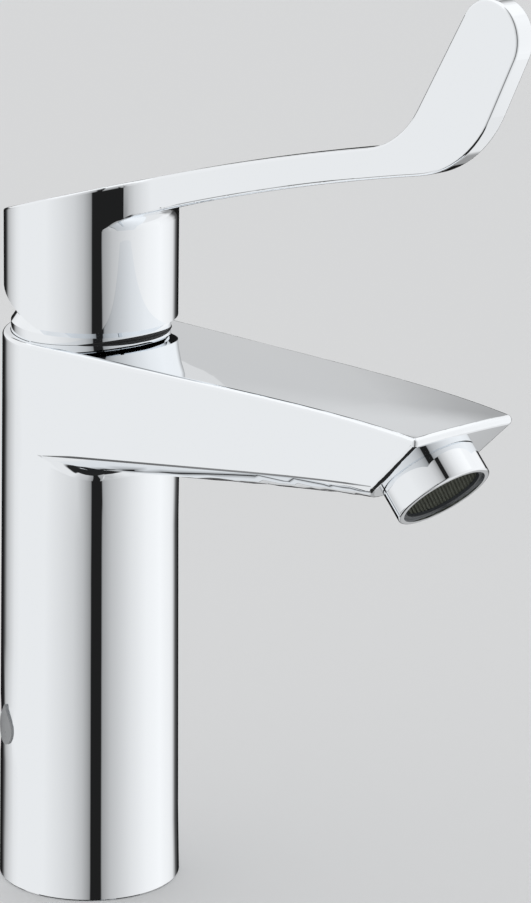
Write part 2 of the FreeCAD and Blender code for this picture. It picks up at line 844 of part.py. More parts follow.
def make_cartridge_nut():
    body = new_body("cartridge_nut")
    bore = housing_neck_radius + loose_gap
    turned(body, "nut", [
        (bore, housing_shoulder),
        (nut_radius, housing_shoulder),
        (nut_radius, nut_top),
        (nut_collar_radius, nut_top),
        (nut_collar_radius, nut_collar_top),
        (bore, nut_collar_top),
    ])
    sketch = new_sketch(body, "slot_outline", "XY_Plane", (0, 0, nut_collar_top - nut_slot_depth))
    half = nut_slot_width / 2
    outline(sketch, [
        (housing_neck_radius - overrun, -half), (nut_collar_radius + overrun, -half),
        (nut_collar_radius + overrun, half), (housing_neck_radius - overrun, half),
    ])
    slot = extruded(body, "slot", sketch, "Pocket", nut_slot_depth + overrun, backwards=True)
    patterned(body, "slots", slot, nut_slots)
    return body


def slant_cut(body, above):
    """Cuts a piece of the neck along a plane that rises towards the spout, level near the column's top at the rear."""
    front_y = -cap_base_radius
    reach = cap_base_radius + overrun
    front_z = body_height + cap_front_rise + overrun * tangent(cap_slant)
    foot_z = body_height - cap_foot
    level_y = front_y - overrun + (front_z - foot_z) / tangent(cap_slant)
    end_z = body_height + cap_height if above else body_height - cap_seat_depth - overrun
    side = new_sketch(body, "slant_line", "YZ_Plane")
    outline(side, [(-reach, front_z), (level_y, foot_z), (reach, foot_z), (reach, end_z), (-reach, end_z)])
    extruded(body, "slant", side, "Pocket", 2 * reach, both=True)


def make_glide_ring():
    """The black ring in the column's mouth that carries the cap and shows as a wedge under its front."""
    body = new_body("glide_ring")
    low = body_height - cap_seat_depth
    ring(body, "glide", nut_collar_radius + loose_gap, cap_base_radius, low, body_height + cap_skirt)
    slant_cut(body, True)
    return body


def make_dome_cap():
    """The cap over the cartridge nut, whose slanted skirt shows as the neck under the handle."""
    body = new_body("dome_cap")
    bore = nut_collar_radius + loose_gap
    inside_shoulder = body_height + cap_shoulder_height - cap_wall
    turned(body, "cap", [
        (bore, body_height - cap_foot),
        (cap_base_radius, body_height - cap_foot),
        (cap_base_radius, body_height + cap_skirt),
        (cap_shoulder_radius, body_height + cap_shoulder_height),
        Arc(cap_mouth_radius + cap_wall, body_height + cap_height, cap_dome_radius, 1),
        (cap_mouth_radius, body_height + cap_height),
        (cap_mouth_radius, body_height + cap_height - cap_wall),
        Arc(bore, inside_shoulder, cap_dome_radius, -1),
    ])
    slant_cut(body, False)
    return body


# Lever: a hollow handle with a bar that ends in an upright paddle

def make_handle():
    body = new_body("handle_shell")
    roof = handle_top + handle_radius * tangent(handle_slope) + overrun
    ring(body, "barrel", 0, handle_radius, handle_rim, roof)
    sketch = new_sketch(body, "roof_line", "YZ_Plane")
    reach = handle_radius + overrun
    outline(sketch, [
        (-reach, handle_top + reach * tangent(handle_slope)),
        (reach, handle_top - reach * tangent(handle_slope)),
        (reach, roof + overrun),
        (-reach, roof + overrun),
    ])
    roof_cut = extruded(body, "roof", sketch, "Pocket", handle_radius * 3, both=True)

    def on_roof(edge):
        slope = math.tan(math.radians(handle_slope.number))
        heights = [
            point.z - (handle_top.number - slope * point.y) for point in edge.discretize(edge_samples)
        ]
        return all(abs(height) < near for height in heights) and edge.Length > handle_radius.number

    rounded(body, "roof_edge", roof_cut, handle_round, on_roof)
    inside = handle_radius - handle_wall
    ring(body, "cavity", hub_radius, inside, handle_rim - overrun, cavity_top, "Groove")
    ring(body, "under_hub", 0, hub_radius + overrun, handle_rim - overrun, hub_bottom, "Groove")
    relief = new_sketch(body, "relief_line", "YZ_Plane")
    back = handle_radius + overrun
    outline(relief, [
        (-relief_start, handle_rim),
        (-relief_start, handle_rim - overrun),
        (back, handle_rim - overrun),
        (back, handle_rim + (back + relief_start) * tangent(relief_slope)),
    ])
    extruded(body, "relief", relief, "Pocket", handle_radius * 3, both=True)
    socket = new_sketch(
        body, "socket_square", "XY_Plane", (0, 0, pivot_height), Vector(1, 0, 0), closed_tilt,
    )
    half = shank_half + thread_gap
    outline(socket, [(-half, -half), (half, -half), (half, half), (-half, half)])
    extruded(body, "socket", socket, "Pocket", shank_height + socket_end_gap, backwards=True)
    hole = new_sketch(body, "grub_circle", "XZ_Plane")
    circle_in(hole, 0, grub_height, grub_radius + thread_gap)
    extruded(body, "grub_hole", hole, "Pocket", handle_radius + overrun)
    return body


def bow_radius(run, rise, end_angle):
    """The radius of a shallow arc over a run and a rise that ends at the given slope."""
    half_turn = arc_tangent(rise / run) - end_angle
    return root(run * run + rise * rise) / (2 * sine(half_turn))


def make_bar():
    body = new_body("lever_bar")
    back = paddle_back_angle
    front = paddle_front_angle
    start_z = handle_top + bar_start_y * tangent(handle_slope)
    top_radius = bow_radius(bar_end_y - bar_start_y, bar_end_z - start_z, bar_end_angle)
    neck_y = -bar_end_y - elbow_radius * (sine(back) - sine(bar_end_angle))
    neck_z = bar_end_z + elbow_radius * (cosine(bar_end_angle) - cosine(back))
    crown_y = neck_y - paddle_back_length * cosine(back)
    crown_z = neck_z + paddle_back_length * sine(back)
    brow_y = crown_y - head_radius * (sine(back) + sine(front))
    brow_z = crown_z - head_radius * (cosine(back) + cosine(front))
    chin_y = brow_y + paddle_front_length * cosine(front)
    chin_z = brow_z - paddle_front_length * sine(front)
    heel_y = chin_y + heel_radius * (sine(front) - sine(heel_angle))
    heel_z = chin_z - heel_radius * (cosine(heel_angle) - cosine(front))
    under_bow = bow_radius(-bar_under_y - heel_y, heel_z - bar_under_z, heel_angle)
    profile = new_sketch(body, "bar_profile", "YZ_Plane")
    outline(profile, [
        (0, bar_foot_z),
        (0, handle_top),
        (-bar_start_y, start_z),
        Arc(-bar_end_y, bar_end_z, top_radius, 1),
        Arc(neck_y, neck_z, elbow_radius, -1),
        (crown_y, crown_z),
        Arc(brow_y, brow_z, head_radius, 1),
        (chin_y, chin_z),
        Arc(heel_y, heel_z, heel_radius, 1),
        Arc(-bar_under_y, bar_under_z, under_bow, -1),
    ])

    # Seen from above, each flank leaves the barrel nearly level with it, runs straight and then bends outwards
    join_x = handle_radius * sine(bar_join_angle)
    join_y = handle_radius * cosine(bar_join_angle)
    inner_x = join_x + bar_join_back * cosine(bar_join_turn)
    inner_y = join_y - bar_join_back * sine(bar_join_turn)
    flare_x = join_x - bar_join_run * cosine(bar_join_turn)
    flare_y = join_y + bar_join_run * sine(bar_join_turn)
    root_half = flare_x - bar_flare_radius * (sine(bar_root_turn) - sine(bar_join_turn))
    root_y = flare_y + bar_flare_radius * (cosine(bar_join_turn) - cosine(bar_root_turn))
    blank = extruded(body, "blank", profile, "Pad", inner_x * 2, both=True)

    # A hollow blend under the bar's root, turned about the barrel's axis
    under_slope = 2 * arc_tangent((heel_z - bar_under_z) / (-bar_under_y - heel_y)) - heel_angle
    blend_y = handle_radius + collar_blend * (1 - sine(under_slope))
    blend_z = bar_under_z + (blend_y - bar_under_y) * tangent(under_slope)
    collar = new_sketch(body, "collar_line", "YZ_Plane")
    outline(collar, [
        Arc(-handle_radius, blend_z - collar_blend * cosine(under_slope), collar_blend, -1),
        (-handle_radius + collar_bite, blend_z - collar_blend * cosine(under_slope)),
        (-handle_radius + collar_bite, blend_z + collar_bite),
        (-blend_y, blend_z + collar_bite),
        (-blend_y, blend_z),
    ])
    blend = body.newObject("PartDesign::Revolution", "collar")
    blend.Profile = collar
    blend.ReferenceAxis = (collar, ["V_Axis"])
    bind(blend, "Angle", bar_join_angle * 2)
    blend.Midplane = True
    collar.Visibility = False

    thin_run = bar_thin_y - root_y
    thinning = root_half - bar_tip_half
    flank_radius = (thin_run * thin_run + thinning * thinning) / (2 * thinning)
    far = brow_y - head_radius
    for side, name in ((1, "right"), (-1, "left")):
        flank = new_sketch(body, name + "_flank_line", "XY_Plane", (0, 0, 0))
        outer = side * (inner_x + overrun)
        outline(flank, [
            (side * inner_x, -inner_y),
            (side * flare_x, -flare_y),
            Arc(side * root_half, -root_y, bar_flare_radius, side),
            Arc(side * bar_tip_half, -bar_thin_y, flank_radius, side),
            (side * bar_tip_half, far),
            (outer, far),
            (outer, -inner_y),
        ])
        blank = extruded(body, name + "_flank", flank, "Pocket", None, backwards=True)

    def on_outline(edge):
        """The long edges of both flanks outside the barrel, above and below."""
        spots = edge.discretize(edge_samples)
        span = spots[-1] - spots[0]
        upright = abs(span.z) > 0.99 * edge.Length and abs(span.y) < near
        inside = all(math.hypot(point.x, point.y) < handle_radius.number + near for point in spots)
        aside = all(abs(point.x) > bar_tip_half.number - near for point in spots)
        return aside and not upright and not inside

    rounded(body, "bar_edges", blank, bar_round, on_outline)
    return body


def make_lever():
    shell = make_handle()
    bar = make_bar()
    lever = doc.addObject("Part::Fuse", "lever")
    lever.Label = "lever"
    lever.Base = shell
    lever.Tool = bar
    return lever


def make_lever_screw():
    """The grub screw that holds the handle on the spindle, from the rear."""
    body = new_body("lever_screw")
    lean = (grub_height - pivot_height) * tangent(closed_tilt)
    seat = shank_half / cosine(closed_tilt) - lean + grub_radius * tangent(closed_tilt) + running_gap
    sketch = new_sketch(body, "screw_circle", "XZ_Plane", (0, 0, -(seat + grub_length)))
    circle_in(sketch, 0, grub_height, grub_radius)
    extruded(body, "screw", sketch, "Pad", grub_length)
    hexagon = new_sketch(body, "socket_hexagon", "XZ_Plane", (0, 0, -(seat + grub_length)))
    outline(hexagon, [
        (grub_socket / cosine(30) * cosine(60 * turn), grub_height + grub_socket / cosine(30) * sine(60 * turn))
        for turn in range(6)
    ])
    extruded(body, "socket", hexagon, "Pocket", grub_socket_depth, backwards=True)
    return body


def make_screw_plug():
    """The small cap that closes the screw's hole at the rear of the handle."""
    body = new_body("screw_plug")
    face = root(handle_radius * handle_radius - grub_radius * grub_radius)
    sketch = new_sketch(body, "plug_circle", "XZ_Plane", (0, 0, -face))
    circle_in(sketch, 0, grub_height, grub_radius)
    extruded(body, "plug", sketch, "Pad", plug_depth)
    return body


# Outlet pieces, drawn about the outlet's axis with the spout's face at height 0 and the mouth upwards

def at_outlet(body):
    place(body, "Placement", (0, outlet_y, outlet_z), Vector(1, 0, 0), outlet_tilt + 180 - 2 * outlet_tilt)


insert_radius = aerator_radius - aerator_rim - thread_gap
insert_top = aerator_height - insert_recess
thread_end = aerator_seal_height - nozzle_thread_depth


def make_aerator_ring():
    body = new_body("aerator_ring")
    bore = aerator_radius - aerator_rim
    turned(body, "shell", [
        (nozzle_bore_radius, thread_end),
        (nozzle_thread_radius - thread_gap, thread_end),
        (nozzle_thread_radius - thread_gap, aerator_gap),
        (aerator_radius, aerator_gap),
        (aerator_radius, aerator_height - aerator_round),
        Arc(aerator_radius - aerator_round, aerator_height, aerator_round, 1),
        (bore, aerator_height),
        (bore, insert_shoulder),
        (nozzle_bore_radius, insert_shoulder),
    ])
    at_outlet(body)
    return body


def make_aerator_seal():
    body = new_body("aerator_seal")
    ring(body, "seal", nozzle_bore_radius + loose_gap, nozzle_thread_radius - 2 * loose_gap,
         -nozzle_thread_depth, thread_end)
    at_outlet(body)
    return body


screen_low = insert_top - screen_recess - screen_height


def make_aerator_insert():
    body = new_body("aerator_insert")
    inner = insert_radius - insert_wall
    turned(body, "cup", [
        (inner - insert_ledge, insert_shoulder + diffuser_height),
        (inner, insert_shoulder + diffuser_height),
        (inner, insert_shoulder),
        (insert_radius, insert_shoulder),
        (insert_radius, insert_top),
        (inner, insert_top),
        (inner, screen_low),
        (inner - insert_ledge, screen_low),
    ])
    at_outlet(body)
    return body


def make_diffuser():
    body = new_body("flow_diffuser")
    radius = insert_radius - insert_wall - running_gap
    ring(body, "plate", 0, radius, insert_shoulder, insert_shoulder + diffuser_height)
    sketch = new_sketch(body, "hole_circle", "XY_Plane", (0, 0, insert_shoulder - overrun))
    circle_in(sketch, diffuser_ring_radius, 0, diffuser_hole_radius)
    hole = extruded(body, "hole", sketch, "Pocket", diffuser_height + 2 * overrun, backwards=True)
    patterned(body, "holes", hole, diffuser_holes)
    at_outlet(body)
    return body


def make_screen():
    body = new_body("aerator_screen")
    radius = insert_radius - insert_wall - running_gap
    ring(body, "screen", 0, radius, screen_low, screen_low + screen_height)
    at_outlet(body)
    return body


# Foot and the fixing under the basin

def make_foot_plate():
    body = new_body("foot_plate")
    top = foot_plate_bottom + foot_plate_height
    ring(body, "plate", 0, column_bore - thread_gap, foot_plate_bottom, top)
    drilled(body, "hose_ways", inlets, foot_plate_bottom - overrun, top + overrun, hose_way_radius)
    stud = [(term(0), -stud_back)]
    drilled(body, "stud_thread", stud, foot_plate_bottom - overrun, top + overrun, stud_radius + thread_gap)
    return body


def make_base_seal():
    body = new_body("base_seal")
    ring(body, "seal", column_bore, column_bore + seal_width, 0, seal_height)
    return body


def make_fixing_stud():
    body = new_body("fixing_stud")
    top = foot_plate_bottom + foot_plate_height
    sketch = new_sketch(body, "stud_circle", "XY_Plane", (0, 0, top - stud_length))
    circle_in(sketch, 0, -stud_back, stud_radius)
    extruded(body, "stud", sketch, "Pad", stud_length)
    return body


def make_horseshoe(name, low, height):
    body = new_body(name)
    ring(body, "disc", 0, clamp_radius, low, low + height)
    sketch = new_sketch(body, "slot_outline", "XY_Plane", (0, 0, low - overrun))
    outline(sketch, [
        (-clamp_slot_half, -clamp_slot_start), (clamp_slot_half, -clamp_slot_start),
        (clamp_slot_half, clamp_radius + overrun), (-clamp_slot_half, clamp_radius + overrun),
    ])
    extruded(body, "slot", sketch, "Pocket", height + 2 * overrun, backwards=True)
    stud = [(term(0), -stud_back)]
    drilled(body, "stud_hole", stud, low - overrun, low + height + overrun, stud_radius + clamp_hole_gap)
    return body


clamp_low = -deck_thickness - gasket_height - clamp_height


def make_clamp_nut():
    body = new_body("clamp_nut")
    sketch = new_sketch(body, "hexagon", "XY_Plane", (0, -stud_back, clamp_low - clamp_nut_height))
    corner = clamp_nut_half / cosine(30)
    outline(sketch, [(corner * cosine(60 * turn), corner * sine(60 * turn)) for turn in range(6)])
    extruded(body, "nut", sketch, "Pad", clamp_nut_height)
    low = clamp_low - clamp_nut_height - overrun
    drilled(body, "thread", [(term(0), -stud_back)], low, clamp_low + overrun, stud_radius + thread_gap)
    return body


pieces = [
    make_body(),
    make_side_plug(),
    make_base_seal(),
    make_foot_plate(),
    make_fixing_stud(),
    make_horseshoe("clamp_gasket", -deck_thickness - gasket_height, gasket_height),
    make_horseshoe("clamp_plate", clamp_low, clamp_height),
    make_clamp_nut(),
    make_cartridge_base(),
    make_port_seals(),
    make_fixed_disc(),
    make_moving_disc(),
    make_disc_carrier(),
    make_cartridge_housing(),
    make_spindle_guide(),
    make_spindle_pin(),
    make_spindle(),
    make_cartridge_nut(),
    make_glide_ring(),
    make_dome_cap(),
    make_lever(),
    make_lever_screw(),
    make_screw_plug(),
    make_aerator_ring(),
    make_aerator_seal(),
    make_aerator_insert(),
    make_diffuser(),
    make_screen(),
]

doc.recompute()

for item in doc.Objects:
    if "Invalid" in item.State or "Error" in item.State:
        raise RuntimeError(f"{item.Label}: {item.State}")
for piece in pieces:
    if piece.Shape.isNull() or not piece.Shape.isValid() or not piece.Shape.Solids:
        raise RuntimeError(f"{piece.Label} has no valid solid")

os.makedirs("parts", exist_ok=True)
for piece in pieces:
    piece.Shape.exportStep(f"parts/{piece.Label}.step")
    box = piece.Shape.BoundBox
    print(f"{piece.Label}: {len(piece.Shape.Solids)} solid, volume {piece.Shape.Volume:.0f}, "
          f"z {box.ZMin:.1f} to {box.ZMax:.1f}")
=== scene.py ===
import json
import math

import bpy
from mathutils import Matrix, Vector


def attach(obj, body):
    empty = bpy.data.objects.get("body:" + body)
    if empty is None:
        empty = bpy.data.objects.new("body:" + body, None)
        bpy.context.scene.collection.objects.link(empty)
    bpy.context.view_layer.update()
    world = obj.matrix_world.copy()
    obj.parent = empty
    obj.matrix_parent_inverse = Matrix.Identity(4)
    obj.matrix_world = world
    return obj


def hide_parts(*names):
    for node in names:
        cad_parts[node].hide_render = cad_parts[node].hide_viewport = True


# Basin mixer: chromium-plated castings round a ceramic disc cartridge.
# Everything is in metres, +Z up, with the spout towards -Y and the column standing on the origin.

MM = 0.001

# The photograph's view, fitted to the tap's outline, in degrees and metres
VIEW_TURN = 41.481  # round from the spout's line, towards -X
VIEW_RISE = 15.432
VIEW_ROLL = 0.18
VIEW_DISTANCE = 1.1  # from the point on the column's axis at VIEW_HEIGHT
VIEW_HEIGHT = 130 * MM
AIM_RIGHT = 0.04212  # the lens looks this far beside and below that point, for each metre ahead
AIM_DOWN = 0.01015
SENSOR_HEIGHT = 36  # this and the focal length are in millimetres, as the camera takes them
FOCAL_LENGTH = 165.3

PALE_GREY = 0.86  # the studio as the camera and the matt surfaces see it
FLOOR_SIZE = 12
FLOOR_DROP = 0.1 * MM  # keeps the floor out of the plane of the tap's foot

# The outlet's axis: where it meets the spout's face, its turn about X, and its direction out of the tap
OUTLET_FACE = Vector((0, -124.22, 140.779)) * MM
OUTLET_TURN = math.radians(136)
OUTLET_LINE = Vector((0, -math.sin(OUTLET_TURN), math.cos(OUTLET_TURN)))
SCREEN_OFFSET = 6.45 * MM  # from the spout's face out to the middle of the screen

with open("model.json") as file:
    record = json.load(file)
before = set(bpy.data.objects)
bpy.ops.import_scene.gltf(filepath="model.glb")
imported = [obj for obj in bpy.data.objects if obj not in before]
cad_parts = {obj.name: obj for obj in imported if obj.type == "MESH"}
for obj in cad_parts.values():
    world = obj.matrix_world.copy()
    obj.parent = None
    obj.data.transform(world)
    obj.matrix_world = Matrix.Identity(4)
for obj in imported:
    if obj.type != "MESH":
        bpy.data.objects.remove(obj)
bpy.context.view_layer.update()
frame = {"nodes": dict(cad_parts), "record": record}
nodes = frame["nodes"]


# Camera and studio

def place_camera():
    """Stands the camera where the photograph was taken from, and turns it a little off the tap's axis."""
    turn = math.radians(VIEW_TURN)
    rise = math.radians(VIEW_RISE)
    roll = math.radians(VIEW_ROLL)
    ahead = Vector((math.sin(turn) * math.cos(rise), math.cos(turn) * math.cos(rise), -math.sin(rise)))
    level = Vector((math.cos(turn), -math.sin(turn), 0))
    upright = level.cross(ahead)
    right = level * math.cos(roll) + upright * math.sin(roll)
    up = upright * math.cos(roll) - level * math.sin(roll)
    spot = Vector((0, 0, VIEW_HEIGHT)) - ahead * VIEW_DISTANCE
    aim = (ahead + right * AIM_RIGHT - up * AIM_DOWN).normalized()
    across = (right - aim * right.dot(aim)).normalized()
    over = across.cross(aim)
    lens = bpy.data.cameras.new("studio_camera")
    lens.sensor_fit = "VERTICAL"
    lens.sensor_height = SENSOR_HEIGHT
    lens.lens = FOCAL_LENGTH
    lens.clip_start = 0.05
    lens.clip_end = 50
    camera = bpy.data.objects.new("studio_camera", lens)
    camera.matrix_world = Matrix((
        (across.x, over.x, -aim.x, spot.x),
        (across.y, over.y, -aim.y, spot.y),
        (across.z, over.z, -aim.z, spot.z),
        (0, 0, 0, 1),
    ))
    bpy.context.scene.collection.objects.link(camera)
    bpy.context.scene.camera = camera


def linear(code):
    """A colour written as sRGB hex, turned to linear with an alpha of 1."""
    parts = [int(code[place:place + 2], 16) / 255 for place in (1, 3, 5)]
    return tuple(
        part / 12.92 if part <= 0.04045 else ((part + 0.055) / 1.055) ** 2.4 for part in parts
    ) + (1.0,)


def add_node(tree, kind, settings=None, links=None):
    """Adds a node, sets its inputs and properties by name, and links other sockets into its inputs."""
    node = tree.nodes.new(kind)
    for name, value in (settings or {}).items():
        if isinstance(name, int) or name in node.inputs:
            node.inputs[name].default_value = value
        else:
            setattr(node, name, value)
    for name, socket in (links or {}).items():
        tree.links.new(socket, node.inputs[name])
    return node


def set_stops(ramp, stops):
    """Gives a colour ramp its stops in rising order, each a place from 0 to 1 and a linear colour."""
    elements = ramp.color_ramp.elements
    while len(elements) < len(stops):
        elements.new(0.5)
    for element, (place, colour) in zip(elements, stops):
        element.position = place
        element.color = colour


def ring_of_light(tree, turn, stops):
    """Grey levels round the tap. A stop's degrees count from the camera towards the picture's right."""
    ramp = add_node(tree, "ShaderNodeValToRGB", links={0: turn})
    set_stops(ramp, [((degree + 180) / 360, (level, level, level, 1)) for degree, level in stops])
    return ramp.outputs[0]


def fade_upwards(tree, height, low, high, below, above):
    """Fades from one light to another between two heights on the unit sphere of directions."""
    share = add_node(tree, "ShaderNodeMapRange", {
        "interpolation_type": "SMOOTHSTEP", "From Min": low, "From Max": high,
    }, {"Value": height})
    mix = add_node(tree, "ShaderNodeMix", {"data_type": "RGBA"}, {0: share.outputs[0], 6: below, 7: above})
    return mix.outputs[2]


def light_studio():
    """What the chrome mirrors: two wide soft boxes, a dark slot beside the camera, dark walls behind the
    tap, and a white table with a dark edge and a dark middle. The camera and the matt surfaces see an even
    pale grey instead, which lights the scene."""
    world = bpy.data.worlds.new("soft_studio")
    world.use_nodes = True
    bpy.context.scene.world = world
    tree = world.node_tree
    tree.nodes.clear()
    place = add_node(tree, "ShaderNodeTexCoord")
    parts = add_node(tree, "ShaderNodeSeparateXYZ", links={0: place.outputs["Generated"]})
    height = parts.outputs["Z"]
    angle = add_node(tree, "ShaderNodeMath", {"operation": "ARCTAN2"}, {
        0: parts.outputs["Y"], 1: parts.outputs["X"],
    })
    # Half a turn lies at the camera's bearing, so a ring runs from -180 to 180 degrees round from there
    turns = add_node(tree, "ShaderNodeMath", {
        "operation": "MULTIPLY_ADD", 1: 1 / (2 * math.pi), 2: 0.5 + (90 + VIEW_TURN) / 360,
    }, {0: angle.outputs[0]})
    turn = add_node(tree, "ShaderNodeMath", {"operation": "FRACT"}, {0: turns.outputs[0]}).outputs[0]
    # The slot beside the camera and the near parts of the two soft boxes, the same in most of the bands
    slot = [
        (-40, 0.80), (-22, 0.69), (-10, 0.54), (-3, 0.38), (0.4, 0.28), (1.2, 0.015), (14.6, 0.015),
        (15.6, 0.36), (27, 0.56), (55, 0.82), (78, 0.96),
    ]
    # From the table upwards: the two heights between which each band fades in, and its ring
    bands = [
        # The white table
        (-0.89, -0.85, [
            (-180, 0.50), (-165, 0.70), (-150, 0.86), (-40, 0.86), (-10, 0.54), (0.4, 0.28), (1.2, 0.015),
            (14.6, 0.015), (15.6, 0.36), (55, 0.86), (150, 0.86), (158, 0.38), (180, 0.40),
        ]),
        # The table's edge, dark from behind the tap round to the picture's left
        (-0.66, -0.62, [(-180, 0.30), (-175, 0.02), (-97, 0.02), (-87, 0.90), (-62, 0.90)] + slot + [
            (103, 1.00), (138, 0.95), (150, 0.35), (180, 0.30),
        ]),
        # The soft boxes and the dark walls behind the tap, which upright surfaces mirror
        (-0.53, -0.49, [
            (-180, 0.01), (-153, 0.015), (-147, 0.09), (-139, 0.48), (-129, 0.66), (-115, 0.84),
            (-105, 0.90), (-62, 0.90),
        ] + slot + [(103, 1.03), (124, 0.94), (135, 0.82), (147, 0.10), (158, 0.01), (180, 0.01)]),
        # A grey backdrop behind the tap
        (0.0, 0.04, [(-180, 0.74), (-170, 0.72), (-160, 0.80), (-140, 0.95), (-62, 0.90)] + slot + [
            (103, 1.03), (145, 1.00), (165, 0.50), (172, 0.40), (176, 0.62),
        ]),
        # Its lighter upper part
        (0.27, 0.38, [(-180, 0.76), (-170, 0.78), (-160, 0.80), (-140, 0.95), (-62, 0.90)] + slot + [
            (103, 1.03), (145, 1.00), (165, 0.72), (172, 0.70), (176, 0.72),
        ]),
        # A dark seam over the backdrop, which draws the thin line along the near edge of the spout's top
        (0.43, 0.45, [(-180, 0.04), (-162, 0.04), (-150, 0.95), (-62, 0.94)] + slot + [
            (103, 1.03), (156, 0.95), (168, 0.20), (180, 0.04),
        ]),
        # The bright roof
        (0.62, 0.66, [(-180, 1.08), (-62, 1.08)] + slot + [(103, 1.08), (180, 1.08)]),
    ]
    # Under them all lies the dark middle of the table
    light = ring_of_light(tree, turn, [(-180, 0.02), (180, 0.02)])
    for low, high, stops in bands:
        light = fade_upwards(tree, height, low, high, below=light, above=ring_of_light(tree, turn, stops))
    mirrored = add_node(tree, "ShaderNodeBackground", {"Strength": 1.0}, {"Color": light})
    even = add_node(tree, "ShaderNodeBackground", {
        "Color": (PALE_GREY, PALE_GREY, PALE_GREY, 1), "Strength": 1.0,
    })
    path = add_node(tree, "ShaderNodeLightPath")
    either = add_node(tree, "ShaderNodeMixShader", links={
        0: path.outputs["Is Glossy Ray"], 1: even.outputs[0], 2: mirrored.outputs[0],
    })
    add_node(tree, "ShaderNodeOutputWorld", links={"Surface": either.outputs[0]})


def lay_floor():
    """A plain matt floor, which the chrome doesn't mirror: it mirrors the studio's white table instead."""
    bpy.ops.object.select_all(action="DESELECT")
    bpy.ops.mesh.primitive_plane_add(size=FLOOR_SIZE, location=(0, 0, -FLOOR_DROP))
    floor = bpy.context.object
    floor.name = "studio_floor"
    paint = bpy.data.materials.new("floor_paint")
    paint.use_nodes = True
    shader = paint.node_tree.nodes["Principled BSDF"]
    shader.inputs["Base Color"].default_value = linear("#E4E5E6")
    shader.inputs["Roughness"].default_value = 0.9
    floor.data.materials.append(paint)
    floor.visible_glossy = False


# Finishes

def new_material(name):
    """A material, its node tree, its shader, and the Object coordinates that its patterns are laid on."""
    material = bpy.data.materials.new(name)
    material.use_nodes = True
    tree = material.node_tree
    place = add_node(tree, "ShaderNodeTexCoord").outputs["Object"]
    return material, tree, tree.nodes["Principled BSDF"], place


def feed_shader(tree, shader, sockets):
    """Links each socket into the shader's input of that name."""
    for name, socket in sockets.items():
        tree.links.new(socket, shader.inputs[name])


def grained_finish(name, even, blotch, tints, shine, grain):
    """Blotches that tint and dull the surface, over a fine grain in relief.

    even holds what is the same all over, blotch a size and a detail, tints two colours, shine the lowest and
    the highest roughness, and grain a size, a detail, the relief's strength and its depth.
    """
    material, tree, shader, place = new_material(name)
    for socket, value in even.items():
        shader.inputs[socket].default_value = value
    size, detail = blotch
    patches = add_node(tree, "ShaderNodeTexNoise", {"Scale": 1 / size, "Detail": detail}, {"Vector": place})
    tint = add_node(tree, "ShaderNodeMix", {
        "data_type": "RGBA", 6: linear(tints[0]), 7: linear(tints[1]),
    }, {0: patches.outputs[0]})
    rough = add_node(tree, "ShaderNodeMapRange", {"To Min": shine[0], "To Max": shine[1]}, {
        "Value": patches.outputs[0],
    })
    size, detail, strength, depth = grain
    pits = add_node(tree, "ShaderNodeTexNoise", {"Scale": 1 / size, "Detail": detail}, {"Vector": place})
    relief = add_node(tree, "ShaderNodeBump", {"Strength": strength, "Distance": depth}, {
        "Height": pits.outputs[0],
    })
    feed_shader(tree, shader, {
        "Base Color": tint.outputs[2], "Roughness": rough.outputs[0], "Normal": relief.outputs[0],
    })
    return material


def moulded_abs():
    """Moulded ABS with a polished face: mid grey, a soft gloss and the faint flow marks of the tool."""
    return grained_finish(
        "moulded_abs", {"IOR": 1.54}, blotch=(3 * MM, 4), tints=("#8D8F91", "#9B9D9F"),
        shine=(0.22, 0.38), grain=(0.4 * MM, 2, 0.4, 0.01 * MM),
    )


def black_rubber():
    """EPDM rubber, and the glide ring of black acetal: soft black, dusty, with a fine pressed grain."""
    return grained_finish(
        "black_rubber", {"IOR": 1.52}, blotch=(4 * MM, 6), tints=("#0E0E10", "#1C1D1F"),
        shine=(0.42, 0.7), grain=(0.25 * MM, 2, 0.5, 0.02 * MM),
    )


def moulded_acetal(name, tints, shine):
    """Acetal from a spark-eroded tool: a waxy, faintly mottled colour and a fine matt grain."""
    return grained_finish(
        name, {"IOR": 1.48}, blotch=(6 * MM, 4), tints=tints,
        shine=shine, grain=(0.2 * MM, 2, 0.5, 0.015 * MM),
    )


def steel_gauze():
    """Stainless wire drawn thin and woven: dull grey-green between dark gaps, with fine drawing marks."""
    return grained_finish(
        "steel_gauze", {"Metallic": 1.0}, blotch=(1.2 * MM, 4), tints=("#3C413A", "#74766B"),
        shine=(0.3, 0.55), grain=(0.1 * MM, 1, 0.4, 0.01 * MM),
    )


def chrome_plate():
    """Castings wheel-polished and chromium plated: a cool mirror, faintly rippled, with a trace of haze."""
    material, tree, shader, place = new_material("chrome_plate")
    shader.inputs["Base Color"].default_value = linear("#F2F5F8")
    shader.inputs["Metallic"].default_value = 1.0
    haze = add_node(tree, "ShaderNodeTexNoise", {"Scale": 1 / (14 * MM), "Detail": 3}, {"Vector": place})
    rough = add_node(tree, "ShaderNodeMapRange", {"To Min": 0.01, "To Max": 0.035}, {
        "Value": haze.outputs[0],
    })
    ripple = add_node(tree, "ShaderNodeTexNoise", {"Scale": 1 / (11 * MM), "Detail": 1}, {"Vector": place})
    waves = add_node(tree, "ShaderNodeBump", {"Distance": 0.006 * MM}, {"Height": ripple.outputs[0]})
    feed_shader(tree, shader, {"Roughness": rough.outputs[0], "Normal": waves.outputs[0]})
    return material


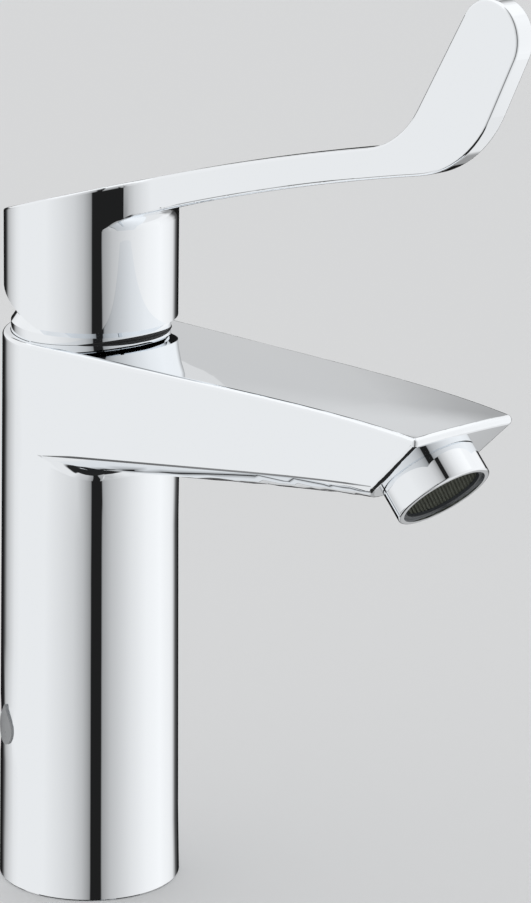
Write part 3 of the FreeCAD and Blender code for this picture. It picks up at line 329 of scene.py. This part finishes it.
def turned_brass():
    """Brass left bare from the lathe: warm yellow, with turned grooves and a little brown tarnish."""
    material, tree, shader, place = new_material("turned_brass")
    shader.inputs["Metallic"].default_value = 1.0
    stain = add_node(tree, "ShaderNodeTexNoise", {"Scale": 1 / (7 * MM), "Detail": 5}, {"Vector": place})
    tint = add_node(tree, "ShaderNodeMix", {
        "data_type": "RGBA", 6: linear("#D9B877"), 7: linear("#A98347"),
    }, {0: stain.outputs[0]})
    rough = add_node(tree, "ShaderNodeMapRange", {"To Min": 0.18, "To Max": 0.42}, {
        "Value": stain.outputs[0],
    })
    # The tool's feed is about 0.1 mm a turn. The grooves are drawn 2.2 mm apart, so that they show: at a
    # scale of 1 the rings lie 2 * pi / 20 of a unit apart.
    groove = add_node(tree, "ShaderNodeTexWave", {
        "wave_type": "RINGS", "rings_direction": "Z", "Scale": 1 / (0.35 * MM) / 20, "Distortion": 0.3,
    }, {"Vector": place})
    cut = add_node(tree, "ShaderNodeBump", {"Strength": 0.5, "Distance": 0.01 * MM}, {
        "Height": groove.outputs[1],
    })
    feed_shader(tree, shader, {
        "Base Color": tint.outputs[2], "Roughness": rough.outputs[0], "Normal": cut.outputs[0],
    })
    return material


def zinc_plated_steel():
    """Steel with a bright zinc plate: blue-grey with paler patches, a mottled shine and lines along it."""
    material, tree, shader, place = new_material("zinc_plated_steel")
    shader.inputs["Metallic"].default_value = 1.0
    mottle = add_node(tree, "ShaderNodeTexNoise", {"Scale": 1 / (5 * MM), "Detail": 6}, {"Vector": place})
    tint = add_node(tree, "ShaderNodeValToRGB", links={0: mottle.outputs[0]})
    set_stops(tint, [(0.35, linear("#AEB7C1")), (0.5, linear("#BDC0C3")), (1.0, linear("#FFFFFF"))])
    rough = add_node(tree, "ShaderNodeMapRange", {"To Min": 0.2, "To Max": 0.45}, {
        "Value": mottle.outputs[0],
    })
    drawn = add_node(tree, "ShaderNodeMapping", {"Scale": (1, 1, 0.1)}, {"Vector": place})
    lines = add_node(tree, "ShaderNodeTexNoise", {"Scale": 1 / (0.3 * MM), "Detail": 2}, {
        "Vector": drawn.outputs[0],
    })
    score = add_node(tree, "ShaderNodeBump", {"Strength": 0.3, "Distance": 0.01 * MM}, {
        "Height": lines.outputs[0],
    })
    feed_shader(tree, shader, {
        "Base Color": tint.outputs[0], "Roughness": rough.outputs[0], "Normal": score.outputs[0],
    })
    return material


def lapped_ceramic():
    """Sintered alumina with lapped faces: warm white, hard and smooth, with tiny dark pores."""
    material, tree, shader, place = new_material("lapped_ceramic")
    shader.inputs["IOR"].default_value = 1.76
    pores = add_node(tree, "ShaderNodeTexVoronoi", {"Scale": 1 / (0.9 * MM)}, {"Vector": place})
    tint = add_node(tree, "ShaderNodeValToRGB", links={0: pores.outputs["Distance"]})
    set_stops(tint, [(0.06, linear("#B9B3A6")), (0.16, linear("#E9E5DB"))])
    rough = add_node(tree, "ShaderNodeMapRange", {"From Max": 0.3, "To Min": 0.4, "To Max": 0.14}, {
        "Value": pores.outputs["Distance"],
    })
    feed_shader(tree, shader, {"Base Color": tint.outputs[0], "Roughness": rough.outputs[0]})
    return material


place_camera()
light_studio()
lay_floor()
finishes = {
    "chrome": chrome_plate(),
    "plug_grey": moulded_abs(),
    "rubber": black_rubber(),
    "brass": turned_brass(),
    "steel": zinc_plated_steel(),
    "cartridge_plastic": moulded_acetal("white_acetal", tints=("#CFCDC4", "#DEDCD4"), shine=(0.35, 0.5)),
    "guide_plastic": moulded_acetal("blue_acetal", tints=("#2C4A78", "#35568A"), shine=(0.35, 0.5)),
    "outlet_plastic": moulded_acetal("grey_acetal", tints=("#35383A", "#42464A"), shine=(0.4, 0.6)),
    "ceramic": lapped_ceramic(),
    "screen_mesh": steel_gauze(),
}
for part in frame["record"]["subparts"]:
    for slot in nodes[part["node"]].material_slots:
        slot.material = finishes[part["material_slot"]]


# Pieces that stand for a CAD node

def start_clean():
    """Leaves edit mode and deselects everything, since an operator acts on all that is selected."""
    if bpy.context.object and bpy.context.object.mode != "OBJECT":
        bpy.ops.object.mode_set(mode="OBJECT")
    bpy.ops.object.select_all(action="DESELECT")


def edit_all():
    """Enters edit mode with the whole mesh selected."""
    bpy.ops.object.mode_set(mode="EDIT")
    bpy.ops.mesh.select_all(action="SELECT")


def turn_faces_out():
    """Turns every face of the mesh outwards and leaves edit mode."""
    edit_all()
    bpy.ops.mesh.normals_make_consistent(inside=False)
    bpy.ops.object.mode_set(mode="OBJECT")


def apply_modifiers(piece):
    for modifier in list(piece.modifiers):
        bpy.ops.object.modifier_apply(modifier=modifier.name)


def settle(piece, body, slot, *stands_for):
    """Puts a finished piece's place into its mesh, gives it its finish, hangs it on its body's empty and
    hides the CAD nodes that it stands for.
    """
    bpy.ops.object.transform_apply(location=True, rotation=True, scale=True)
    piece.data.materials.clear()
    piece.data.materials.append(finishes[slot])
    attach(piece, body)
    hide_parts(*stands_for)


def weave_gauze():
    """A plain weave of round wires, cut round, in place of the outlet's flat screen."""
    wire_radius = 0.1 * MM
    wire_sides = 6
    pitch = 0.62 * MM
    swing = 0.11 * MM  # how far a wire rises and falls from the screen's middle, over and under the others
    reach = 9.6 * MM
    strands = 16  # from the middle out to one side, which is a little past the round edge
    edge_sides = 96
    cutter_depth = 2 * MM
    start_clean()
    # One wire along X: two half pitches on the way down, two on the way up, and so on
    bpy.ops.mesh.primitive_circle_add(
        vertices=wire_sides, radius=wire_radius, fill_type="NGON", rotation=(0, math.pi / 2, 0),
        location=(-strands * pitch, -strands * pitch, swing),
    )
    gauze = bpy.context.object
    gauze.name = "woven_gauze"
    bpy.ops.object.mode_set(mode="EDIT")
    for step in range(strands * 4):
        climb = -swing if step % 4 < 2 else swing
        bpy.ops.mesh.extrude_region_move(TRANSFORM_OT_translate={"value": (pitch / 2, 0, climb)})
    bpy.ops.object.mode_set(mode="OBJECT")
    rows = gauze.modifiers.new("rows", "ARRAY")
    rows.count = strands + 1
    rows.use_relative_offset = False
    rows.use_constant_offset = True
    rows.constant_offset_displace = (0, 2 * pitch, 0)
    apply_modifiers(gauze)
    # The rows between those, half a wave on, and then the wires that cross them all
    edit_all()
    bpy.ops.mesh.duplicate_move(TRANSFORM_OT_translate={"value": (pitch, pitch, 0)})
    bpy.ops.mesh.select_all(action="SELECT")
    bpy.ops.mesh.duplicate_move(TRANSFORM_OT_translate={"value": (0, 0, 0)})
    bpy.ops.transform.rotate(value=math.pi / 2, orient_axis="Z", center_override=(0, 0, 0))
    bpy.ops.transform.translate(value=(0, pitch, 0))
    turn_faces_out()
    bpy.ops.mesh.primitive_cylinder_add(
        vertices=edge_sides, radius=reach, depth=cutter_depth, location=(0, 0, 0),
    )
    disc = bpy.context.object
    start_clean()
    gauze.select_set(True)
    bpy.context.view_layer.objects.active = gauze
    trim = gauze.modifiers.new("round_edge", "BOOLEAN")
    trim.operation = "INTERSECT"
    trim.solver = "EXACT"
    trim.object = disc
    apply_modifiers(gauze)
    bpy.data.objects.remove(disc, do_unlink=True)
    bpy.ops.object.transform_apply(location=True, rotation=True, scale=True)
    gauze.rotation_euler = (OUTLET_TURN, 0, 0)
    gauze.location = OUTLET_FACE + OUTLET_LINE * SCREEN_OFFSET
    bpy.ops.object.shade_smooth()
    settle(gauze, "tap_body", "screen_mesh", "aerator_screen")


def cut_stud_thread():
    """The M8 stud: one pitch of its thread's profile, wound up the length and cut level at both ends."""
    crest = 4.0 * MM
    depth = 0.68 * MM
    pitch = 1.25 * MM
    root_flat = pitch / 8
    crest_flat = pitch / 4
    flank = pitch * 5 / 16
    foot = -70 * MM
    head = 14 * MM
    towards_spout = 12 * MM  # from the column's axis
    sides = 24
    spare_turns = 3  # so that the thread runs past both cuts
    seam_gap = 0.001 * MM  # corners nearer than this are merged as the screw is wound
    turn_gap = 0.01 * MM  # and these where one turn's top meets the next one's bottom
    cut_gap = 0.0001 * MM  # a corner nearer to a cut than this counts as lying on it
    start_clean()
    # The profile: a plane merged to one point at the root, then drawn out along the thread's form
    bpy.ops.mesh.primitive_plane_add(size=depth, location=(0, 0, 0))
    stud = bpy.context.object
    stud.name = "threaded_stud"
    bpy.ops.object.mode_set(mode="EDIT")
    bpy.ops.mesh.merge(type="CENTER")
    bpy.ops.transform.translate(value=(crest - depth, 0, foot - pitch))
    for outwards, upwards in ((0, root_flat), (depth, flank), (0, crest_flat), (-depth, flank)):
        bpy.ops.mesh.extrude_region_move(TRANSFORM_OT_translate={"value": (outwards, 0, upwards)})
    bpy.ops.object.mode_set(mode="OBJECT")
    wind = stud.modifiers.new("helix", "SCREW")
    wind.screw_offset = pitch
    wind.iterations = int((head - foot) / pitch) + spare_turns
    wind.steps = wind.render_steps = sides
    wind.use_merge_vertices = True
    wind.merge_threshold = seam_gap
    apply_modifiers(stud)
    edit_all()
    bpy.ops.mesh.remove_doubles(threshold=turn_gap)
    bpy.ops.object.mode_set(mode="OBJECT")
    for height, keep_above in ((foot, True), (head, False)):
        edit_all()
        bpy.ops.mesh.bisect(
            plane_co=(0, 0, height), plane_no=(0, 0, 1), use_fill=True,
            clear_inner=keep_above, clear_outer=not keep_above, threshold=cut_gap,
        )
        bpy.ops.object.mode_set(mode="OBJECT")
    turn_faces_out()
    stud.location = (0, -towards_spout, 0)
    settle(stud, "tap_body", "steel", "fixing_stud")


weave_gauze()
cut_stud_thread()
bpy.context.scene.view_settings.view_transform = "Standard"
